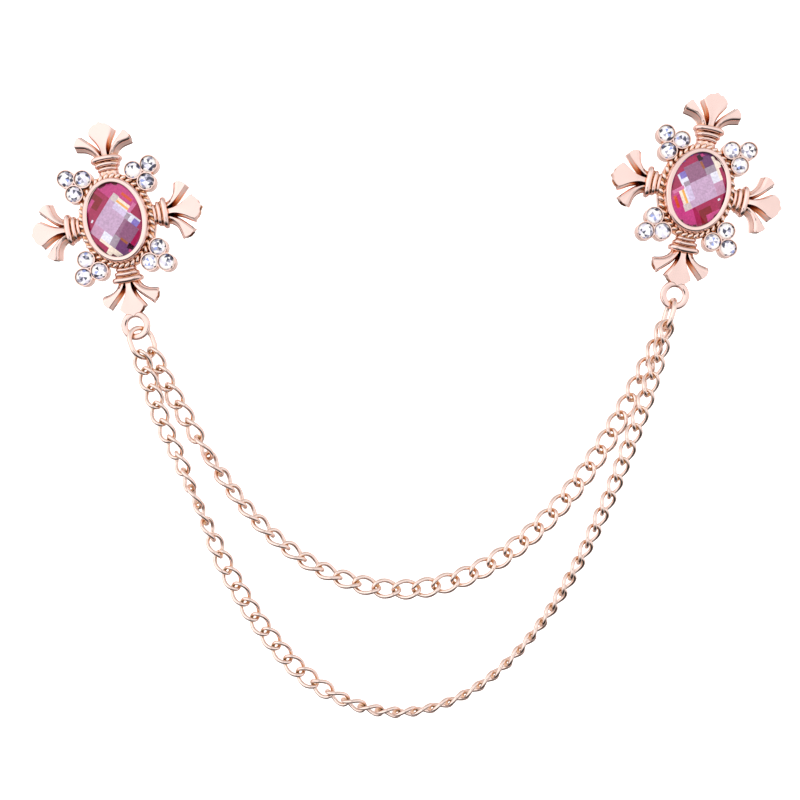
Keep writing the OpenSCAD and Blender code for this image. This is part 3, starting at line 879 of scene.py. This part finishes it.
linkMake = {
    "twist": -43,  # degrees
    "ringPoints": 36, "wireSides": 10,
    "easeShare": 0.05,  # share of the length in which the chain swings forward from its ring
    "endGap": 0.4,  # mm by which an end link hangs short of its own reach
    "curveFrom": 5.0, "curveTo": 400.0, "halvings": 50,  # search for the catenary's size
}


def loopCentre(side):
    x, z = brooch[side]["at"]
    lean = math.radians(brooch[side]["lean"])
    drop = loopRing["drop"]
    return Vector((x + drop * math.sin(lean), -loopRing["rise"], z - drop * math.cos(lean)))


def ringFrame(side):
    # highest point, direction it hangs in, direction across
    slant, forward, turn = (math.radians(angle) for angle in (
        jumpRing["slant"][side], jumpRing["forward"], jumpRing["turn"][side]))
    down = Vector((math.sin(slant) * math.cos(forward), -math.sin(forward),
                   -math.cos(slant) * math.cos(forward)))
    across = Vector((math.sin(turn), math.cos(turn), 0))
    across = (across - down * across.dot(down)).normalized()
    top = loopCentre(side) + Vector((math.sin(slant), 0, -math.cos(slant))) * jumpRing["hang"][side]
    return top, down, across


def ovalWire(side):
    # ring of round wire with straight sides; the half step keeps points off the middle of a side
    top, down, across = ringFrame(side)
    straight = (jumpRing["length"] - jumpRing["width"]) / 2
    middle = top + down * jumpRing["length"] / 2
    out = across.cross(down)
    rings = []
    for t in fullTurn(jumpRing["around"], 0.5):
        radial = across * math.sin(t) - down * math.cos(t)
        centre = middle - down * math.copysign(straight, math.cos(t)) + radial * jumpRing["width"] / 2
        rings.append([centre + (radial * math.cos(a) + out * math.sin(a)) * jumpRing["wire"] / 2
                      for a in fullTurn(jumpRing["sides"])])
    return loft(rings, closed=True)


def linkStart(side, spec, end, halfLong):
    # middle of the link that hangs in a jump ring
    top, down, across = ringFrame(side)
    radius = jumpRing["width"] / 2
    angle = math.radians(spec["from"][end])
    bottom = top + down * jumpRing["length"]
    reach = halfLong - jumpRing["wire"] / 2 - spec["wire"] / 2 - linkMake["endGap"]
    return (bottom + across * radius * math.sin(angle) - down * radius * (1 - math.cos(angle))
            + Vector(spec["out"][end]) * reach)


def chainPlaces(spec):
    # centre and turn of each link on the curve of a hanging chain
    last = spec["links"] - 1
    halfLong = (spec["pitch"] + spec["wire"] + spec["slack"]) / 2
    start, end = linkStart("left", spec, 0, halfLong), linkStart("right", spec, 1, halfLong)
    length = last * spec["pitch"]
    dx, dz = end.x - start.x, end.z - start.z
    chord = math.sqrt(length * length - dz * dz)
    low, high = linkMake["curveFrom"], linkMake["curveTo"]
    for _ in range(linkMake["halvings"]):
        a = (low + high) / 2
        low, high = (a, high) if 2 * a * math.sinh(dx / 2 / a) > chord else (low, a)
    a = (low + high) / 2
    x0 = dx / 2 - a * math.log((length + dz) / (length - dz)) / 2
    s0 = a * math.sinh(-x0 / a)
    centres, turns = [], []
    for i in range(last + 1):
        s = s0 + i * spec["pitch"]
        share = i / last
        ease = [math.exp(-(x / linkMake["easeShare"]) ** 2) for x in (share, 1 - share)]
        depth = mix(mix(-spec["depth"], start.y, ease[0]), end.y, ease[1])
        inward = tableRow(spec["bow"], share)[0] / math.hypot(a, s)
        centres.append(Vector((start.x + x0 + a * math.asinh(s / a) - s * inward, depth,
                               start.z + math.hypot(a, s) - math.hypot(a, s0) + a * inward)))
    for i in range(last + 1):
        along = (centres[min(i + 1, last)] - centres[max(i - 1, 0)]).normalized()
        up = Vector((0, -1, 0)).cross(along).normalized()
        front = along.cross(up)
        roll = math.radians(tableRow(spec["roll"], i / last)[0])
        y = up * math.cos(roll) + front * math.sin(roll)
        z = front * math.cos(roll) - up * math.sin(roll)
        turns.append(Matrix((along, y, z)).transposed().to_euler())
    return centres, turns, halfLong


def curbTree():
    # one twisted oval link, set on every point with that point's turn
    tree, given = startTree("curbChain", {
        "Half Length": "Float", "Half Width": "Float", "Wire Radius": "Float", "Twist": "Float",
        "Ring Points": "Int", "Wire Sides": "Int", "Finish": "Material"})
    index = addNode(tree, "GeometryNodeInputIndex")
    share = addNode(tree, "ShaderNodeMath", {"operation": "DIVIDE"}, {0: index, 1: given["Ring Points"]})
    angle = addNode(tree, "ShaderNodeMath", {"operation": "MULTIPLY", 1: 2 * math.pi}, {0: share})
    cosine = addNode(tree, "ShaderNodeMath", {"operation": "COSINE"}, {0: angle})
    sine = addNode(tree, "ShaderNodeMath", {"operation": "SINE"}, {0: angle})
    long = addNode(tree, "ShaderNodeMath", {"operation": "MULTIPLY"}, {0: cosine, 1: given["Half Length"]})
    wide = addNode(tree, "ShaderNodeMath", {"operation": "MULTIPLY"}, {0: sine, 1: given["Half Width"]})
    # curb twist: the wire turns out of the link's plane, opposite ways at its two ends
    twist = addNode(tree, "ShaderNodeMath", {"operation": "MULTIPLY"}, {0: cosine, 1: given["Twist"]})
    level = addNode(tree, "ShaderNodeMath", {"operation": "COSINE"}, {0: twist})
    raised = addNode(tree, "ShaderNodeMath", {"operation": "SINE"}, {0: twist})
    flat = addNode(tree, "ShaderNodeMath", {"operation": "MULTIPLY"}, {0: wide, 1: level})
    lift = addNode(tree, "ShaderNodeMath", {"operation": "MULTIPLY"}, {0: wide, 1: raised})
    spot = addNode(tree, "ShaderNodeCombineXYZ", None, {0: long, 1: flat, 2: lift})
    ring = addNode(tree, "GeometryNodeCurvePrimitiveCircle", {"Radius": 1.0},
                   {"Resolution": given["Ring Points"]})
    centreLine = addNode(tree, "GeometryNodeSetPosition", None, {"Geometry": ring, "Position": spot})
    section = addNode(tree, "GeometryNodeCurvePrimitiveCircle", None,
                      {"Resolution": given["Wire Sides"], "Radius": given["Wire Radius"]})
    link = addNode(tree, "GeometryNodeCurveToMesh", None, {0: centreLine, 1: section})
    turn = addNode(tree, "GeometryNodeInputNamedAttribute", {"data_type": "FLOAT_VECTOR", "Name": "turn"})
    rotation = addNode(tree, "FunctionNodeEulerToRotation", None, {0: turn})
    placed = addNode(tree, "GeometryNodeInstanceOnPoints", None,
                     {"Points": given["Geometry"], "Instance": link, "Rotation": rotation})
    return endTree(tree, placed, given["Finish"])


def curbChain(name, tree):
    spec = chains[name]
    centres, turns, halfLong = chainPlaces(spec)
    mesh = bpy.data.meshes.new("linkCentres")
    mesh.from_pydata(centres, [], [])
    attribute = mesh.attributes.new("turn", "FLOAT_VECTOR", "POINT")
    for i, turn in enumerate(turns):
        attribute.data[i].vector = turn
    return throughNodes(name, mesh, tree, {
        "Half Length": halfLong, "Half Width": (spec["width"] - spec["wire"]) / 2,
        "Wire Radius": spec["wire"] / 2, "Twist": math.radians(linkMake["twist"]),
        "Ring Points": linkMake["ringPoints"], "Wire Sides": linkMake["wireSides"], "Finish": wireGold})


jumpRings = {side: makePiece(side + "JumpRing", ovalWire(side), wireGold) for side in brooch}
linkTree = curbTree()
chainPieces = {name: curbChain(name, linkTree) for name in chains}
print("rings and chains made")


# Body of each piece; the frame's parts they stand in for are hidden

for side in brooch:
    for piece, slot in ((settings[side], "cast_setting"), (borders[side], "cast_setting"),
                        (ovalStones[side], "pink_stone"), (clusterStones[side], "clear_stone"),
                        (jumpRings[side], "chain_wire")):
        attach(piece, "root")
    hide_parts(side + "_setting")
    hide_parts(side + "_oval_stone")
    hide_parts(side + "_jump_ring")
    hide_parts(*[f"{side}_{quarter}_{place}_stone"
                                       for quarter in ("tr", "tl", "bl", "br")
                                       for place in ("out", "mid", "rim")])
for name, node in (("upperChain", "upper_chain"), ("lowerChain", "lower_chain")):
    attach(chainPieces[name], "root")
    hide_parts(node)


# Studio

studio = {
    "camera": (56.23, -230.0, -35.54), "lens": 51.75, "sensor": 36,  # mm
    "floorDrop": 450, "wallBack": 620, "halfSpan": 1500, "sweepRadius": 200, "sweepSteps": 16,
    "paperCrease": 80,  # degrees
    "paperGlow": 0.35,  # light that comes through the paper from behind the set
    "fibre": 4.55,  # mm, mottle of the paper, far coarser than its fibres so that it can show
    "shadeRadius": 40, "shadeBehind": 8,  # mm, the camera's dark front, which mirrors show
    "shadeSides": 32,
}
softboxes = {
    # place in mm, width and height in metres, watts
    "keySoftbox": ((-260, -420, 330), (0.36, 0.36), 0.5),
    "fillSoftbox": ((420, -380, 80), (0.3, 0.4), 0.3),
}
aimAt = (56, 0, -35)  # mm


def paperSweep():
    # seamless pale paper: floor, curve and wall
    back, low, radius = studio["wallBack"], -studio["floorDrop"], studio["sweepRadius"]
    span, steps = studio["halfSpan"], studio["sweepSteps"]
    line = [(-span, low), (back - radius, low)]
    for k in range(1, steps + 1):
        a = math.pi / 2 * k / steps
        line.append((back - radius + radius * math.sin(a), low + radius - radius * math.cos(a)))
    line.append((back, span))
    verts = [(x, y, z) for y, z in line for x in (-span, span)]
    faces = [(2 * i, 2 * i + 1, 2 * i + 3, 2 * i + 2) for i in range(len(line) - 1)]
    return verts, faces


def paperFinish():
    # matt photographic paper, lit evenly from behind the set
    material, tree, shader = newMaterial("whiteStudioPaper")
    place = addNode(tree, "ShaderNodeTexCoord")
    fibre = addNode(tree, "ShaderNodeTexNoise", {"Scale": 1 / (studio["fibre"] * metresPerMm)},
                    {"Vector": place.outputs["Object"]})
    tone = addNode(tree, "ShaderNodeMix", {"data_type": "RGBA", 6: srgb("F8F8F8"), 7: srgb("FFFFFF")},
                   {0: fibre})  # 0, 6 and 7 are the factor and the two colours
    tree.links.new(tone.outputs[2], shader.inputs["Base Color"])
    shader.inputs["Roughness"].default_value = 0.9
    shader.inputs["Emission Color"].default_value = (1, 1, 1, 1)
    shader.inputs["Emission Strength"].default_value = studio["paperGlow"]
    return material


sweepPiece = makePiece("paperSweep", paperSweep(), paperFinish(), studio["paperCrease"])
sweepPiece.visible_glossy = False  # the metal mirrors the light tent below instead


def lensShade():
    # black disc at the camera that only mirrors see
    material, _, shader = newMaterial("blackVelvetCard")
    shader.inputs["Base Color"].default_value = srgb("1C1412")
    shader.inputs["Roughness"].default_value = 0.95
    x, y, z = studio["camera"]
    outline = [(across, y - studio["shadeBehind"], up)
               for across, up in circle((x, z), studio["shadeRadius"], studio["shadeSides"])]
    card = makePiece("lensShade", (outline, [tuple(range(len(outline)))]), material)
    card.visible_camera = card.visible_shadow = card.visible_diffuse = False
    return card


card = lensShade()


tent = {
    # height in the mirror picture, from straight down to straight up, and its brightness
    "front": [(0.0, 0.02), (0.17, 0.04), (0.25, 0.3), (0.34, 0.93), (0.5, 1.0), (0.7, 1.12), (0.85, 0.9),
              (1.0, 0.5)],
    "behind": [(0.0, 0.4), (0.25, 0.58), (0.42, 0.8), (0.52, 0.92), (0.7, 1.0), (0.85, 0.9), (1.0, 0.7)],
    "left": 1.24, "right": 0.97,  # factors on the two sides of the front
    "behindLeft": 0.95, "behindRight": 0.95,
    "blend": 0.3,  # half width of the soft change from side to side and from front to back
    "frontHue": (1.0, 0.985, 0.985), "behindHue": (1.0, 0.85, 0.8),
    "seenPlain": 1.05,  # white that the camera sees past the paper
}


def brightness(tree, height, stops, hue):
    # ramp over the stops, the first at 0 and the last at 1
    ramp = addNode(tree, "ShaderNodeValToRGB", None, {0: height})
    marks = ramp.color_ramp.elements
    for place, value in stops[1:-1]:
        marks.new(place).color = [value * part for part in hue] + [1]
    for mark, stop in ((marks[0], stops[0]), (marks[-1], stops[-1])):
        mark.color = [stop[1] * part for part in hue] + [1]
    return ramp


def lightTent():
    # world as the metal mirrors it: white in front, dim behind, dark below; plain white to the camera
    world = bpy.data.worlds.new("lightTent")
    bpy.context.scene.world = world
    world.use_nodes = True
    tree = world.node_tree
    tree.nodes.clear()
    softEdge = {"From Min": -tent["blend"], "From Max": tent["blend"]}
    place = addNode(tree, "ShaderNodeTexCoord")
    axes = addNode(tree, "ShaderNodeSeparateXYZ", None, {0: place.outputs["Generated"]})
    height = addNode(tree, "ShaderNodeMapRange", {"From Min": -1.0, "From Max": 1.0},
                     {"Value": axes.outputs["Z"]})
    halves = []
    for half, left, right in (("front", "left", "right"), ("behind", "behindLeft", "behindRight")):
        side = addNode(tree, "ShaderNodeMapRange", {**softEdge, "To Min": tent[left], "To Max": tent[right]},
                       {"Value": axes.outputs["X"]})
        light = brightness(tree, height, tent[half], tent[half + "Hue"])
        halves.append(addNode(tree, "ShaderNodeBackground", None, {"Color": light, "Strength": side}))
    behind = addNode(tree, "ShaderNodeMapRange", {"interpolation_type": "SMOOTHSTEP", **softEdge},
                     {"Value": axes.outputs["Y"]})
    mirrored = addNode(tree, "ShaderNodeMixShader", None, {0: behind, 1: halves[0], 2: halves[1]})
    plain = addNode(tree, "ShaderNodeBackground", {"Color": (1, 1, 1, 1), "Strength": tent["seenPlain"]})
    ray = addNode(tree, "ShaderNodeLightPath")
    shown = addNode(tree, "ShaderNodeMixShader", None,
                    {0: ray.outputs["Is Camera Ray"], 1: mirrored, 2: plain})
    addNode(tree, "ShaderNodeOutputWorld", None, {0: shown})


def softbox(name, place, size, power):
    # soft studio lamp that faces the middle of the chains
    lamp = bpy.data.lights.new(name, "AREA")
    lamp.shape = "RECTANGLE"
    lamp.size, lamp.size_y = size
    lamp.energy = power
    box = newObject(name, lamp)
    box.location = Vector(place) * metresPerMm
    box.rotation_euler = (Vector(aimAt) - Vector(place)).to_track_quat("-Z", "Y").to_euler()
    box.visible_glossy = False  # the tent is what the metal mirrors


lightTent()
for name, (place, size, power) in softboxes.items():
    softbox(name, place, size, power)

camera = bpy.data.cameras.new("camera")
camera.lens = studio["lens"]
camera.sensor_width = studio["sensor"]
cameraPiece = newObject("camera", camera)
cameraPiece.location = Vector(studio["camera"]) * metresPerMm
cameraPiece.rotation_euler = (math.radians(90), 0, 0)
bpy.context.scene.camera = cameraPiece
bpy.context.scene.view_settings.view_transform = "Standard"
print("studio made")
